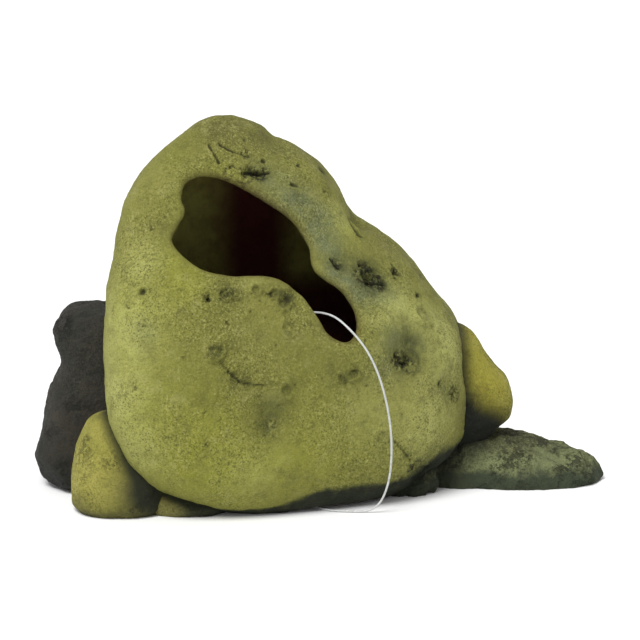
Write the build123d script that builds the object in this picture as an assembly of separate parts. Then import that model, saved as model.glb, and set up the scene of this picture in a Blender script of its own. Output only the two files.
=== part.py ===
from build123d import *
import math
import os

# Resin cave ornament: a hollow boulder with an open mouth, six stones bonded round its
# foot, and a nylon tag loop that hangs through the mouth and back under the front rim.
# Millimetres. +X runs along the ornament to the right, +Y runs back from the mouth, +Z is
# up, and the origin is under the middle of the stones, on the surface they stand on.

# Driving dimensions of the casting
WALL = 6.5  # resin thickness of the boulder
LIP_RADIUS = 2.4  # rounding of the mouth's edge, outside and inside
RIM_GAP = 2.6  # height of the low arch under the front rim, which the loop passes

# Heights of the rocks' tops, and the slab's tip: x, y, z
BOULDER_TOP = 177.5
FRONT_LEFT_TOP = 44.5
FRONT_TOE_TOP = 23
RUBBLE_TOP = 18
RIGHT_STONE_TOP = 77.5
SLAB_TIP = (137, 12, 4.5)

# Every rock is a stack of level sections. A section is a superellipse: a squareness of 2
# is an ellipse, and a larger one has flatter sides. The skew slides the section back as
# it runs right, which turns a rock's front towards one side.
BOULDER_SQUARENESS = 2.8
BOULDER_SKEW = 0.28
REAR_ROCK_SQUARENESS = 3.0
REAR_ROCK_ROUNDING = 8  # edge of the rear rock's flat top
STONE_SQUARENESS = 2.5
SLAB_SQUARENESS = 2.3

# Rock sections: height, centre x, centre y, half width, half depth
BOULDER = [
    (0, -6, 3, 48, 40),
    (4, -9, 3, 57, 45),
    (10, -10, 2, 67, 48),
    (18, -10, 1, 76, 50.5),
    (28, -10.5, 0.5, 81.5, 51.5),
    (45, -13, 0, 85, 51.5),
    (70, -15.5, 0.5, 83.5, 50),
    (95, -23.5, 3, 75, 45.5),
    (112, -29.5, 5, 66.5, 41),
    (120, -34, 6, 60.5, 38.5),
    (127, -38.5, 6.5, 55, 36),
    (140, -40.5, 7.5, 49.5, 31),
    (152, -41, 8.5, 42, 25.5),
    (162, -43, 9, 31, 19),
    (170, -44.5, 9.5, 20, 13),
    (175, -45.5, 9.5, 11, 7.5),
]
REAR_LEFT_ROCK = [
    (0, -103, 12, 20, 23),
    (5, -106, 12, 27, 26.5),
    (12, -108, 12, 29, 27),
    (30, -106, 13, 26, 26),
    (45, -104.5, 14, 25, 25),
    (60, -102, 15, 21.5, 23.5),
    (75, -103, 16, 24, 23),
    (86, -102, 17, 23, 21),
]
FRONT_LEFT_STONE = [
    (0, -92, -27, 21, 22),
    (4, -92, -27, 23.4, 25),
    (14, -92, -26.5, 23.2, 25.5),
    (26, -93, -25, 20.5, 22),
    (36, -94.5, -23, 15.5, 17),
    (41.5, -96, -22, 10, 11),
]
FRONT_TOE_STONE = [
    (0, -62, -24, 22, 23),
    (3, -62, -24, 24.5, 25.5),
    (9, -61, -22, 24, 24),
    (16, -59, -19, 19, 19),
    (21, -58, -17, 11, 11),
]
TOE_RUBBLE = [
    (0, 40, 2, 17, 17),
    (4, 40, 2, 18, 18.5),
    (10, 41, 4, 16.5, 17),
    (15, 42, 7, 12, 13),
]
RIGHT_STONE = [
    (12, 63, 22, 18, 17),
    (20, 63, 24, 20.5, 19.5),
    (26, 63, 24, 24.5, 22),
    (31, 63, 24, 29, 24.5),
    (38, 63, 24, 30.3, 25),
    (46, 63, 24, 28, 24.5),
    (54, 62, 24, 22.5, 23),
    (61, 61, 24, 18.3, 21),
    (68, 60, 24, 15.5, 18),
    (74, 58.5, 24, 10.5, 12),
]

# The slab lies down, so its sections stand across X: x, centre y, centre z, half depth,
# half height
RIGHT_SLAB = [
    (40, 22, 2, 18, 19),
    (62, 21, 2, 23, 22),
    (82, 19, 2, 23, 21),
    (100, 17, 2, 22.5, 18.5),
    (118, 15.5, 3, 18.5, 13.2),
    (127, 14, 4, 14, 9),
    (133.5, 12.5, 4.5, 8, 5),
]

# Mouth outline on its own plane, which lies along the boulder's face: across, and up
MOUTH_CENTRE = (-20, -30, 115)
MOUTH_TURN = 16  # degrees that the plane turns towards the right
MOUTH_TILT = 24  # degrees that the plane leans back
MOUTH_REACH = 25  # how far the cut runs through the wall, each way from that plane
MOUTH_OUTLINE = [
    (-28, 45),
    (-37, 42),
    (-40, 34),
    (-39, 28),
    (-44, 20),
    (-46.5, 15),
    (-43, 8),
    (-34, 0),
    (-21, -4),
    (-5, -5),
    (3, -8),
    (11, -15.5),
    (16.5, -24.5),
    (21.5, -34),
    (29.5, -38),
    (35, -33.5),
    (36, -24),
    (31, -14),
    (20.5, -5),
    (18, 1.5),
    (18.5, 10),
    (12, 21),
    (-0.5, 30.5),
    (-16, 41),
]

# Arch under the front rim: x, and height as a share of the rim gap
RIM_ARCH = [(-16, 0), (-6, 0.85), (8, 1), (26, 0.8), (46, 0)]
ARCH_REACH = 70  # how far the arch runs forwards from the middle of the boulder

# Nylon loop: filament thickness, the lock that joins its ends, and its route from one
# side of the lock, up inside the boulder, out over the mouth's lower lip, down in front
# and back under the rim to the lock's other side
FILAMENT = 1.0
LOCK_CENTRE = (-15, -16.8, 1.4)
LOCK_SIZE = (6.5, 3.6, 2.6)
LOCK_BEVEL = 0.5
LOCK_TURN = 156  # degrees from +X to the filament's way out
ARC_SHARE = 0.45  # of the shorter run beside each corner, which its arc takes up
LOOP_ROUTE = [
    (-17, -16, 1.4),
    (-27, -12.5, 3),
    (-36, -15, 14),
    (-40, -17, 32),
    (-38, -19, 53),
    (-30, -20, 73),
    (-15, -22, 89),
    (3.5, -32, 94),
    (15.5, -43, 86),
    (24, -46.5, 74.5),
    (30, -48, 57),
    (33, -46, 36),
    (32, -43, 15),
    (26, -40, 0.8),
    (12, -40, 0.6),
    (2, -37.5, 0.6),
    (-5, -29, 0.6),
    (-13, -17.5, 1.4),
]


def ring_points(half_width, half_depth, squareness, count=16):
    """Points round a superellipse, from its right end and counterclockwise."""
    points = []
    for step in range(count):
        angle = 2 * math.pi * step / count
        across = abs(math.cos(angle)) ** (2 / squareness)
        along = abs(math.sin(angle)) ** (2 / squareness)
        x = half_width * math.copysign(across, math.cos(angle))
        y = half_depth * math.copysign(along, math.sin(angle))
        points.append((x, y))
    return points


def level_ring(section, squareness, skew):
    """Closed wire of one level section."""
    height, centre_x, centre_y, half_width, half_depth = section
    points = []
    for x, y in ring_points(half_width, half_depth, squareness):
        points.append((centre_x + x, centre_y + y + skew * x, height))
    return Wire([Spline(*points, periodic=True)])


def standing_rock(sections, top, squareness=STONE_SQUARENESS, skew=0.0):
    """Rock lofted upwards through its level sections to a rounded top."""
    rings = [level_ring(section, squareness, skew) for section in sections]
    _, centre_x, centre_y, _, _ = sections[-1]
    return Solid.make_loft(rings + [Vertex(centre_x, centre_y, top)])


def blocky_rock(sections, squareness, rounding):
    """Rock lofted upwards to a flat top, which has a rounded edge."""
    rings = [level_ring(section, squareness, 0) for section in sections]
    rock = Solid.make_loft(rings)
    top = rock.faces().sort_by(Axis.Z)[-1]
    return fillet(top.edges(), rounding)


def lying_rock(sections, tip, squareness):
    """Rock lofted to the right through upright sections, and cut flat underneath."""
    rings = []
    for x, centre_y, centre_z, half_depth, half_height in sections:
        points = []
        for y, z in ring_points(half_depth, half_height, squareness):
            points.append((x, centre_y + y, centre_z + z))
        rings.append(Wire([Spline(*points, periodic=True)]))
    whole = Solid.make_loft(rings + [Vertex(*tip)])
    return split(whole, Plane.XY, keep=Keep.TOP)


def inset(sections, wall):
    """Sections of the hollow: each moved in by the wall, square to the rock's slope."""
    _, centre_x, centre_y, half_width, half_depth = sections[0]
    inner = [(-wall, centre_x, centre_y, half_width - wall, half_depth - wall)]
    for below, here, above in zip(sections, sections[1:], sections[2:]):
        height, centre_x, centre_y, half_width, half_depth = here
        narrowing = (below[3] + below[4] - above[3] - above[4]) / 2
        slope = math.atan2(narrowing, above[0] - below[0])
        in_by = wall * math.cos(slope)
        down_by = wall * math.sin(slope)
        inner.append((height - down_by, centre_x, centre_y, half_width - in_by, half_depth - in_by))
    return inner


def mouth_plane():
    """Plane along the boulder's face, with its normal coming out of the mouth."""
    turn = math.radians(MOUTH_TURN)
    tilt = math.radians(MOUTH_TILT)
    across = (math.cos(turn), math.sin(turn), 0)
    outward = (
        math.sin(turn) * math.cos(tilt),
        -math.cos(turn) * math.cos(tilt),
        math.sin(tilt),
    )
    return Plane(origin=MOUTH_CENTRE, x_dir=across, z_dir=outward)


def mouth_cutter():
    """Bean-shaped block that opens the front wall."""
    outline = Face(Wire([Spline(*MOUTH_OUTLINE, periodic=True)]))
    return mouth_plane() * extrude(outline, amount=MOUTH_REACH, both=True)


def rim_arch():
    """Low arch under the front rim, where the cast edge stands off the surface."""
    points = [(x, RIM_GAP * share) for x, share in RIM_ARCH]
    outline = make_face(Curve() + [Spline(*points), Line(points[-1], points[0])])
    return Plane.XZ * extrude(outline, amount=ARCH_REACH)


def boulder_solid():
    """The boulder's outer form, not yet hollow."""
    return standing_rock(BOULDER, BOULDER_TOP, BOULDER_SQUARENESS, BOULDER_SKEW)


def boulder_shell(solid):
    """Hollow casting: open underneath, with the mouth and the arch cut in its front."""
    sections = inset(BOULDER, WALL)
    hollow = standing_rock(sections, BOULDER_TOP - WALL, BOULDER_SQUARENESS, BOULDER_SKEW)
    closed = solid - hollow - rim_arch()
    opening = mouth_cutter()
    shell = closed - opening
    return fillet(new_edges(closed, opening, combined=shell), LIP_RADIUS)


def loop_lock():
    """Snap lock of the loop: a small block with bevelled edges."""
    block = chamfer(Box(*LOCK_SIZE).edges(), LOCK_BEVEL)
    return Location(LOCK_CENTRE, (0, 0, LOCK_TURN)) * block


def loop_tube():
    """Filament of the loop: straight runs joined by the largest arcs that fit."""
    points = [Vector(*point) for point in LOOP_ROUTE]
    radii = []
    for before, here, after in zip(points, points[1:], points[2:]):
        half_turn = math.radians((here - before).get_angle(after - here)) / 2
        shorter_run = min((here - before).length, (after - here).length)
        radii.append(ARC_SHARE * shorter_run / math.tan(half_turn))
    path = FilletPolyline(*points, radius=radii)
    tube = sweep(Plane(path @ 0, z_dir=path % 0) * Circle(FILAMENT / 2), path)
    section = math.pi * FILAMENT**2 / 4
    print("loop arc radii:", [round(radius, 1) for radius in radii])
    print("loop length:", round(path.length, 1))
    print("loop volume over section times length:", round(tube.volume / (section * path.length), 4))
    return tube


def main():
    boulder = boulder_solid()
    rear_rock = blocky_rock(REAR_LEFT_ROCK, REAR_ROCK_SQUARENESS, REAR_ROCK_ROUNDING)
    front_left = standing_rock(FRONT_LEFT_STONE, FRONT_LEFT_TOP)
    front_toe = standing_rock(FRONT_TOE_STONE, FRONT_TOE_TOP)
    rubble = standing_rock(TOE_RUBBLE, RUBBLE_TOP) - boulder
    slab = lying_rock(RIGHT_SLAB, SLAB_TIP, SLAB_SQUARENESS) - boulder - rubble
    right_stone = standing_rock(RIGHT_STONE, RIGHT_STONE_TOP)
    lock = loop_lock()

    # Where two castings meet, one is cut to the other's face
    parts = {
        "boulder_shell": boulder_shell(boulder),
        "rear_left_rock": rear_rock - boulder,
        "front_left_stone": front_left - boulder - rear_rock,
        "front_toe_stone": front_toe - boulder - front_left,
        "toe_rubble": rubble,
        "right_slab": slab,
        "right_stone": right_stone - boulder - slab,
        "nylon_loop": loop_tube() - lock,
        "loop_lock": lock,
    }
    os.makedirs("parts", exist_ok=True)
    for name, part in parts.items():
        export_step(part, os.path.join("parts", name + ".step"))


main()
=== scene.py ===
import math

import bpy
import numpy as np
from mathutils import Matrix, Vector


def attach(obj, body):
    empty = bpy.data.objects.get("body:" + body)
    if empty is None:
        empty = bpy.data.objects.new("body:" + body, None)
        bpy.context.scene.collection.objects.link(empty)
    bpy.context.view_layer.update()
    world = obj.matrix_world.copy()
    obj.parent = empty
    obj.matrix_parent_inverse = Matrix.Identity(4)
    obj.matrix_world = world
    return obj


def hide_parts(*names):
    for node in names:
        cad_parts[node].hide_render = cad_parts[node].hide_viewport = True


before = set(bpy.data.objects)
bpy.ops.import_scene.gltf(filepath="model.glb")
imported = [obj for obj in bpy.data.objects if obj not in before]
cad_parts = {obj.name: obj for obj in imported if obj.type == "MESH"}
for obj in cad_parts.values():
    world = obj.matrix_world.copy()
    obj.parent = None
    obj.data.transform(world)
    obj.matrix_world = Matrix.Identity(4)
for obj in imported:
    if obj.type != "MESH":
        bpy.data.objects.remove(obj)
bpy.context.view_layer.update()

bl_info = {
    "name": "Cave Ornament",
    "version": (1, 0, 0),
    "blender": (4, 5, 0),
    "location": "View3D > Sidebar > Cave Ornament",
    "description": "Hollow cast boulder with an open mouth, six foot stones and a nylon tag loop",
    "category": "Add Mesh",
}

MM = 0.001
HALVINGS = 40  # halved so often, a step is far too short to see

# The rocks' sections, in millimetres: height, centre x, centre y, half width, half depth.
# A section is a superellipse, and a skew slides it back as it runs right.
BOULDER = [
    (0, -6, 3, 48, 40),
    (4, -9, 3, 57, 45),
    (10, -10, 2, 67, 48),
    (18, -10, 1, 76, 50.5),
    (28, -10.5, 0.5, 81.5, 51.5),
    (45, -13, 0, 85, 51.5),
    (70, -15.5, 0.5, 83.5, 50),
    (95, -23.5, 3, 75, 45.5),
    (112, -29.5, 5, 66.5, 41),
    (120, -34, 6, 60.5, 38.5),
    (127, -38.5, 6.5, 55, 36),
    (140, -40.5, 7.5, 49.5, 31),
    (152, -41, 8.5, 42, 25.5),
    (162, -43, 9, 31, 19),
    (170, -44.5, 9.5, 20, 13),
    (175, -45.5, 9.5, 11, 7.5),
    (177.5, -45.5, 9.5, 0, 0),
]
BOULDER_SQUARENESS = 2.8
BOULDER_SKEW = 0.28
REAR_LEFT_ROCK = [
    (0, -103, 12, 20, 23),
    (5, -106, 12, 27, 26.5),
    (12, -108, 12, 29, 27),
    (30, -106, 13, 26, 26),
    (45, -104.5, 14, 25, 25),
    (60, -102, 15, 21.5, 23.5),
    (75, -103, 16, 24, 23),
    (82, -102, 17, 22.5, 20.5),
    (86, -102, 17, 0, 0),
]
FRONT_LEFT_STONE = [
    (0, -92, -27, 21, 22),
    (4, -92, -27, 23.4, 25),
    (14, -92, -26.5, 23.2, 25.5),
    (26, -93, -25, 20.5, 22),
    (36, -94.5, -23, 15.5, 17),
    (41.5, -96, -22, 10, 11),
    (44.5, -96, -22, 0, 0),
]
FRONT_TOE_STONE = [
    (0, -62, -24, 22, 23),
    (3, -62, -24, 24.5, 25.5),
    (9, -61, -22, 24, 24),
    (16, -59, -19, 19, 19),
    (21, -58, -17, 11, 11),
    (23, -58, -17, 0, 0),
]
TOE_RUBBLE = [
    (0, 40, 2, 17, 17),
    (4, 40, 2, 18, 18.5),
    (10, 41, 4, 16.5, 17),
    (15, 42, 7, 12, 13),
    (18, 42, 7, 0, 0),
]
RIGHT_STONE = [
    (12, 63, 22, 18, 17),
    (20, 63, 24, 20.5, 19.5),
    (26, 63, 24, 24.5, 22),
    (31, 63, 24, 29, 24.5),
    (38, 63, 24, 30.3, 25),
    (46, 63, 24, 28, 24.5),
    (54, 62, 24, 22.5, 23),
    (61, 61, 24, 18.3, 21),
    (68, 60, 24, 15.5, 18),
    (74, 58.5, 24, 10.5, 12),
    (77.5, 58.5, 24, 0, 0),
]
# The slab lies down: x, centre y, centre z, half depth, half height
RIGHT_SLAB = [
    (40, 22, 2, 18, 19),
    (62, 21, 2, 23, 22),
    (82, 19, 2, 23, 21),
    (100, 17, 2, 22.5, 18.5),
    (118, 15.5, 3, 18.5, 13.2),
    (127, 14, 4, 14, 9),
    (133.5, 12.5, 4.5, 8, 5),
    (137, 12, 4.5, 0, 0),
]

# Mouth outline on its own plane, in millimetres across and up
MOUTH_CENTRE = (-20, -30, 115)
MOUTH_TURN = 16
MOUTH_TILT = 24
MOUTH_OUTLINE = [
    (-28, 45),
    (-37, 42),
    (-40, 34),
    (-39, 28),
    (-44, 20),
    (-46.5, 15),
    (-43, 8),
    (-34, 0),
    (-21, -4),
    (-5, -5),
    (3, -8),
    (11, -15.5),
    (16.5, -24.5),
    (21.5, -34),
    (29.5, -38),
    (35, -33.5),
    (36, -24),
    (31, -14),
    (20.5, -5),
    (18, 1.5),
    (18.5, 10),
    (12, 21),
    (-0.5, 30.5),
    (-16, 41),
]

# Nylon loop, in metres: one side of its lock, up inside the boulder, over the mouth's
# lower lip, down in front, and back under the rim to the lock's other side
LOOP_ROUTE = [
    (-0.017, -0.016, 0.0014),
    (-0.027, -0.0125, 0.003),
    (-0.036, -0.015, 0.014),
    (-0.040, -0.017, 0.032),
    (-0.038, -0.019, 0.053),
    (-0.030, -0.020, 0.073),
    (-0.015, -0.022, 0.089),
    (0.0035, -0.032, 0.094),
    (0.0155, -0.043, 0.086),
    (0.024, -0.0465, 0.0745),
    (0.030, -0.048, 0.057),
    (0.033, -0.046, 0.036),
    (0.032, -0.043, 0.015),
    (0.026, -0.040, 0.0008),
    (0.012, -0.040, 0.0006),
    (0.002, -0.0375, 0.0006),
    (-0.005, -0.029, 0.0006),
    (-0.013, -0.0175, 0.0014),
]


# ---------------------------------------------------------------- curves and sections


def smoothstep(low, high, value):
    """0 below low, 1 above high, and 3t^2 - 2t^3 between them."""
    t = np.clip((value - low) / (high - low), 0, 1)
    return t * t * (3 - 2 * t)


def through(knots, values, at):
    """Smooth curve through the knots that never overshoots: cubic pieces, whose slope at
    a knot is the weighted harmonic mean of the two chords beside it, or 0 at a turn."""
    widths = np.diff(knots)
    chords = np.diff(values) / widths
    slopes = np.zeros(len(values))
    slopes[0], slopes[-1] = chords[0], chords[-1]
    before, after = chords[:-1], chords[1:]
    weight_before = 2 * widths[1:] + widths[:-1]
    weight_after = widths[1:] + 2 * widths[:-1]
    same_way = before * after > 0
    safe_before = np.where(same_way, before, 1)
    safe_after = np.where(same_way, after, 1)
    weights = weight_before + weight_after
    mean = weights / (weight_before / safe_before + weight_after / safe_after)
    slopes[1:-1] = np.where(same_way, mean, 0)
    piece = np.clip(np.searchsorted(knots, at, side="right") - 1, 0, len(widths) - 1)
    width = widths[piece]
    t = np.clip((at - knots[piece]) / width, 0, 1)
    rise = values[piece + 1] - values[piece]
    start, end = slopes[piece] * width, slopes[piece + 1] * width
    bent = 3 * rise - 2 * start - end + t * (start + end - 2 * rise)
    return values[piece] + t * (start + t * bent)


def unit(vectors):
    """The same directions, each of length 1."""
    return vectors / np.linalg.norm(vectors, axis=-1, keepdims=True)


def sections_at(stations, height):
    """Centres and half sizes of a rock's section at each height, in metres. The half
    sizes run through the stations as squares, which makes a top round."""
    table = np.array(stations, float) * MM
    centre_x = through(table[:, 0], table[:, 1], height)
    centre_y = through(table[:, 0], table[:, 2], height)
    half_width = np.sqrt(np.maximum(through(table[:, 0], table[:, 3] ** 2, height), 0))
    half_depth = np.sqrt(np.maximum(through(table[:, 0], table[:, 4] ** 2, height), 0))
    return centre_x, centre_y, half_width, half_depth


def ring_of(half_width, half_depth, squareness, columns):
    """Superellipses of those half sizes: x = a cos^(2/n), y = b sin^(2/n), signs kept."""
    angle = np.linspace(0, 2 * math.pi, columns, endpoint=False)
    power = 2 / squareness
    x = half_width[:, None] * np.sign(np.cos(angle)) * np.abs(np.cos(angle)) ** power
    y = half_depth[:, None] * np.sign(np.sin(angle)) * np.abs(np.sin(angle)) ** power
    return x, y


def boulder_share(points):
    """How far out a point is in the boulder's section at its height: 0 on the section's
    centre, 1 on its edge, by (|x/a|^n + |y/b|^n)^(1/n), and large above the top."""
    centre_x, centre_y, half_width, half_depth = sections_at(BOULDER, points[..., 2])
    across = points[..., 0] - centre_x
    along = points[..., 1] - centre_y - BOULDER_SKEW * across
    smallest = 1e-6
    x = np.abs(across) / np.maximum(half_width, smallest)
    y = np.abs(along) / np.maximum(half_depth, smallest)
    share = (x**BOULDER_SQUARENESS + y**BOULDER_SQUARENESS) ** (1 / BOULDER_SQUARENESS)
    beyond = (points[..., 2] < 0) | (points[..., 2] > BOULDER[-1][0] * MM)
    return np.where(beyond, 1e3, share)


def where_it_leaves(start, direction, inside=0.0, outside=0.3):
    """Points where lines from start leave the boulder: each line's stretch from inside to
    outside, in metres, is halved again and again."""
    low = np.full(direction.shape[:-1], inside)
    high = np.full(direction.shape[:-1], outside)
    for _ in range(HALVINGS):
        middle = (low + high) / 2
        within = boulder_share(start + middle[..., None] * direction) < 1
        low = np.where(within, middle, low)
        high = np.where(within, high, middle)
    return start + low[..., None] * direction


def on_boulder_front(x, z):
    """Point on the boulder's front at x and z, both in millimetres."""
    start = np.array([x, 60.0, z]) * MM
    centre_x, centre_y, half_width, half_depth = sections_at(BOULDER, np.array([z * MM]))
    across = x * MM - centre_x
    share = np.clip(np.abs(across / half_width), 0, 0.999) ** BOULDER_SQUARENESS
    depth = half_depth * (1 - share) ** (1 / BOULDER_SQUARENESS)
    start[1] = (centre_y + BOULDER_SKEW * across - depth)[0]
    return start


# ---------------------------------------------------------------- noise and carving


def lattice_noise(points, cell, seed):
    """Gradient noise, about -0.7 to 0.7: each corner of a cubic lattice of that cell size
    has a random direction, and a point blends the eight corners' slopes."""
    rng = np.random.default_rng(seed)
    slopes = rng.normal(size=(256, 3))
    slopes /= np.linalg.norm(slopes, axis=1, keepdims=True)
    order = rng.permutation(256)
    scaled = points / cell
    corner = np.floor(scaled).astype(int)
    inside = scaled - corner
    fade = inside**3 * (inside * (6 * inside - 15) + 10)
    total = np.zeros(points.shape[:-1])
    for number in range(8):
        step = np.array([number & 1, number >> 1 & 1, number >> 2 & 1])
        cell_x, cell_y, cell_z = np.moveaxis((corner + step) & 255, -1, 0)
        slope = slopes[order[(order[(order[cell_x] + cell_y) & 255] + cell_z) & 255]]
        weight = np.where(step, fade, 1 - fade).prod(-1)
        total += weight * ((inside - step) * slope).sum(-1)
    return total


def layered_noise(points, cell, layers, seed):
    """Sum of gradient noises, each at half the cell and half the height of the last."""
    total = np.zeros(points.shape[:-1])
    for layer in range(layers):
        total += lattice_noise(points, cell / 2**layer, seed + layer) / 2**layer
    return total


def distance_to_run(points, start, end):
    """Distance from each point to the straight run from start to end."""
    run = end - start
    share = np.clip(((points - start) @ run) / (run @ run), 0, 1)
    return np.linalg.norm(points - start - share[..., None] * run, axis=-1)


# ---------------------------------------------------------------- meshes


def make_mesh(name, rings, round_again, attributes):
    """Mesh of a grid of rings, each a closed row of points. The rings close on themselves
    if round_again, and otherwise each end is closed by a point at its ring's middle.
    attributes are named numbers, one for each point of the grid."""
    count, around, _ = rings.shape
    points = rings.reshape(-1, 3)
    number = np.arange(count * around).reshape(count, around)
    following = np.roll(number, -1, axis=0) if round_again else number[1:]
    here = number if round_again else number[:-1]
    beside_here, beside_next = np.roll(here, -1, axis=1), np.roll(following, -1, axis=1)
    quads = np.stack([here, beside_here, beside_next, following], axis=-1).reshape(-1, 4)
    fans = np.zeros((0, 3), int)
    if not round_again:
        poles = np.array([rings[0].mean(0), rings[-1].mean(0)])
        points = np.vstack([points, poles])
        first, last = number[0], number[-1]
        low_pole = np.full(around, count * around)
        low_fan = np.stack([np.roll(first, -1), first, low_pole], axis=-1)
        high_fan = np.stack([last, np.roll(last, -1), low_pole + 1], axis=-1)
        fans = np.vstack([low_fan, high_fan])
    corners = points[quads]
    diagonal_a, diagonal_b = corners[:, 2] - corners[:, 0], corners[:, 3] - corners[:, 1]
    volume = (corners.mean(1) * np.cross(diagonal_a, diagonal_b)).sum()
    if volume < 0:
        quads, fans = quads[:, ::-1], fans[:, ::-1]

    mesh = bpy.data.meshes.new(name)
    loops = np.concatenate([quads.ravel(), fans.ravel()])
    sizes = np.concatenate([np.full(len(quads), 4), np.full(len(fans), 3)])
    mesh.vertices.add(len(points))
    mesh.loops.add(len(loops))
    mesh.polygons.add(len(sizes))
    mesh.vertices.foreach_set("co", points.ravel())
    mesh.loops.foreach_set("vertex_index", loops)
    mesh.polygons.foreach_set("loop_start", np.cumsum(sizes) - sizes)
    for label, values in attributes.items():
        spare = len(points) - values.size
        layer = mesh.attributes.new(label, "FLOAT", "POINT")
        layer.data.foreach_set("value", np.concatenate([values.ravel(), np.zeros(spare)]))
    mesh.update(calc_edges=True)
    mesh.shade_smooth()
    if mesh.validate():
        raise RuntimeError(name + " has faces that had to be mended")
    piece = bpy.data.objects.new(name, mesh)
    bpy.context.collection.objects.link(piece)
    return piece


def grid_normals(rings):
    """Outward directions on a grid of rings: the cross product of the steps along and
    across the rings, turned away from the grid's middle by its signed volume."""
    around = np.roll(rings, -1, axis=1) - np.roll(rings, 1, axis=1)
    along = np.gradient(rings, axis=0)
    normals = np.cross(around, along)
    normals /= np.maximum(np.linalg.norm(normals, axis=-1, keepdims=True), 1e-12)
    middle = rings.reshape(-1, 3).mean(0)
    outward = ((rings - middle) * np.cross(around, along)).sum()
    return normals * np.sign(outward)


# ---------------------------------------------------------------- boulder

# Carving and paint on the boulder's front, in millimetres, placed by x and z.
# Pits: x, z, radius, depth
PITS = [
    (-79, 105, 1.6, 1.4),
    (-50, 102, 1.7, 1.5),
    (-61, 78, 1.2, 0.7),
    (-52, 53, 1.1, 0.7),
    (-51, 38, 1.5, 0.9),
    (-82, 64, 1.6, 0.7),
    (-42, 92, 1.4, 0.8),
    (-35, 168, 1.2, 1.0),
    (-26, 159, 1.4, 1.2),
    (-13, 148, 1.6, 1.2),
    (-10, 155, 1.5, 1.0),
    (2, 143, 1.2, 0.8),
    (46, 95, 1.8, 1.4),
    (56, 56, 1.7, 1.3),
    (36, 72, 1.3, 1.1),
    (30, 52, 1.0, 0.6),
    (21, 60, 1.0, 0.7),
    (38, 45, 1.1, 0.6),
]
# Crumbled patches: x, z, radius, depth
CRUMBLED = [
    (-50, 103, 2.6, 0.9),
    (-42, 105, 3.6, 0.8),
    (-28, 105, 2.4, 0.7),
    (-23, 103, 2.4, 0.8),
    (-15, 101, 4.4, 0.9),
    (-12, 98, 2.4, 0.6),
    (-12, 90, 2.6, 0.4),
    (-41, 156, 2.6, 1.5),
    (-33, 154, 4.0, 1.6),
    (-27, 154, 3.4, 1.8),
    (-34, 162, 3.6, 0.8),
    (-9, 140, 3.0, 0.4),
    (8, 114, 3.4, 1.3),
    (22, 108, 6.0, 2.0),
    (28, 104, 4.6, 1.6),
    (35, 106, 3.0, 1.2),
    (47, 94, 2.4, 1.0),
    (37, 70, 4.4, 1.4),
    (41, 67, 3.6, 1.4),
    (63, 49, 3.8, 1.3),
    (56, 55, 2.4, 0.9),
    (16, 67, 3.0, 0.7),
    (11, 64, 3.4, 0.5),
    (44, 17, 5.0, 1.4),
    (50, 12, 7.0, 1.8),
    (60, 12, 7.0, 1.6),
    (36, 12, 4.0, 1.0),
    (-45, 80, 2.2, 0.5),
    (-39, 71, 2.8, 0.6),
    (-22, 46, 7.0, 0.5),
    (60, 88, 4.0, 0.8),
]
# Soft hollows: x, z, radius, depth, and how dark the paint pooled there is, paint that also stands
# for the shade in the hollow
HOLLOWS = [
    (24, 107, 9, 2.6, 0.8),
    (30, 103, 7, 1.6, 0.6),
    (42, 75, 10, 3.0, 0.75),
    (40, 67, 7, 1.6, 0.5),
    (10, 113, 5, 1.5, 0.55),
    (-21, 52, 8, 1.6, 0.5),
    (-24, 44, 7, 1.3, 0.45),
    (-14, 61, 3.5, 0.8, 0.1),
    (-35, 66, 6, 1.4, 0.25),
    (-12, 90, 4, 0.7, 0.1),
    (-42, 104, 6, 0.8, 0.25),
    (-15, 101, 5, 0.9, 0.25),
    (12, 65, 8, 0.8, 0.2),
    (60, 52, 7, 1.2, 0.3),
    (-28, 154, 6, 1.2, 0.4),
    (19, 126, 5.5, 4.0, 0.35),
    (-22, 167, 9, 1.8, 0.1),
    (47, 102, 3.5, 1.8, 0.25),
    (56, 91, 3, 1.6, 0.2),
    (62, 80, 3.5, 1.4, 0.2),
    (2, 150, 5, 1.2, 0.3),
    (62, 84, 5, 1.2, 0.2),
    (-10, 144, 6, 0.6, 0.15),
    (48, 14, 9, 1.5, 0.5),
]
# Raised places: x, z, radius, height
KNOBS = [
    (-80, 98, 12, 2.2),
    (-80, 62, 14, 2.0),
    (-80, 40, 14, 0.8),
    (33, 92, 9, 2.2),
    (12, 104, 5, 1.4),
    (44, 103, 6, 1.8),
    (53, 95, 4, 2.4),
    (58, 87, 3.5, 1.8),
    (36, 115, 5, 1.6),
    (23, 84, 8, 1.0),
    (60, 66, 10, 1.2),
    (-48, 79, 3.4, 1.1),
    (-40, 84, 5, 0.5),
    (-18, 60, 4.0, 0.8),
    (8, 132, 6, 1.4),
    (28, 121, 7, 1.6),
    (-42, 90, 10, 0.5),
    (47, 84, 5, 0.9),
]
# Raised rings: x, z, radius, height
RINGS = [
    (-47, 80, 3.6, 1.7),
    (-15, 61, 3.6, 1.2),
    (47, 87, 4.8, 1.5),
    (-16, 99, 3.4, 1.3),
    (-21, 103, 2.6, 1.2),
    (-14, 88, 3.8, 0.9),
    (-43, 104, 2.8, 1.3),
    (-38, 104, 2.4, 1.1),
    (-29, 105, 2.4, 1.1),
    (-79, 105, 2.6, 0.9),
    (15, 66, 2.8, 1.2),
    (10, 65, 2.2, 0.9),
    (-38, 69, 2.6, 1.2),
    (-33, 66, 2.2, 0.8),
    (24, 106, 5.4, 1.4),
    (41, 69, 4.8, 1.4),
    (63, 50, 3.4, 1.2),
    (35, 106, 2.8, 1.1),
    (28, 36, 3.0, 0.8),
    (-62, 96, 3.0, 0.6),
]
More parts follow.
